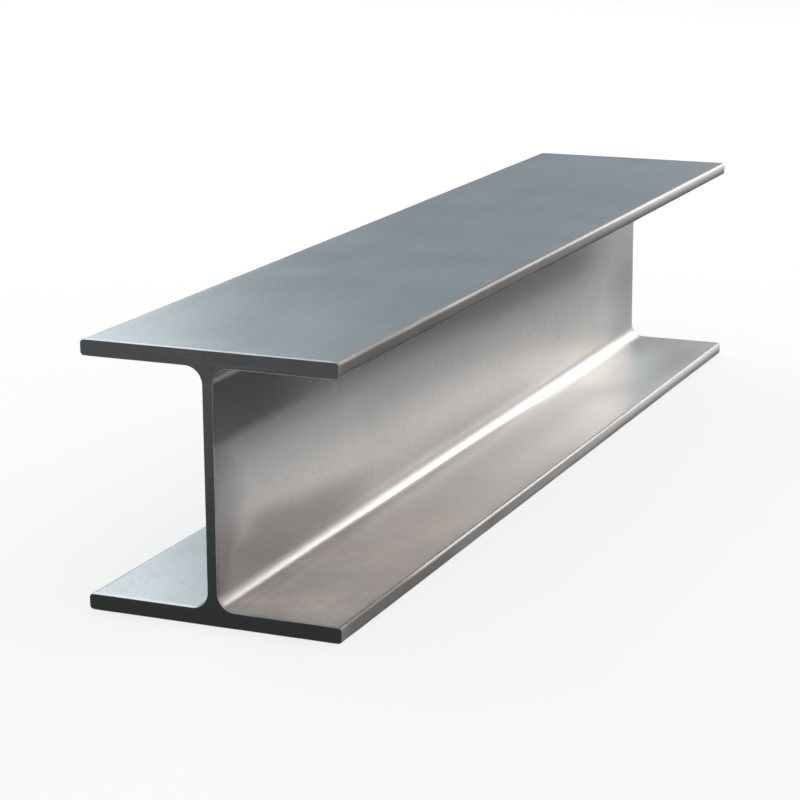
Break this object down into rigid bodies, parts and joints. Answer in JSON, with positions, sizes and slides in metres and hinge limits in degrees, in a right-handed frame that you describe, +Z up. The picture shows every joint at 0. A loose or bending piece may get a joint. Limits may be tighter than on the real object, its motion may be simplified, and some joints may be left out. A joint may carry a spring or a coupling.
{
  "type": "steel i-beam",
  "caption": "Hot-rolled wide-flange steel beam of I-shaped section, with parallel flanges, filleted roots, rounded flange tips and square-sawn ends, for framing and bearing loads.",
  "frame": {"origin": "middle of the lower flange's underside, at mid-length, where the beam stands on a floor", "axes": "+X along the beam's length, +Y across the flanges, +Z up through the web's depth"},
  "size_m": [0.95, 0.2, 0.2],
  "materials": {
    "rolled_steel": "satin"
  },
  "bodies": {
    "root": {"i_beam": "rolled_steel"}
  },
  "joints": []
}
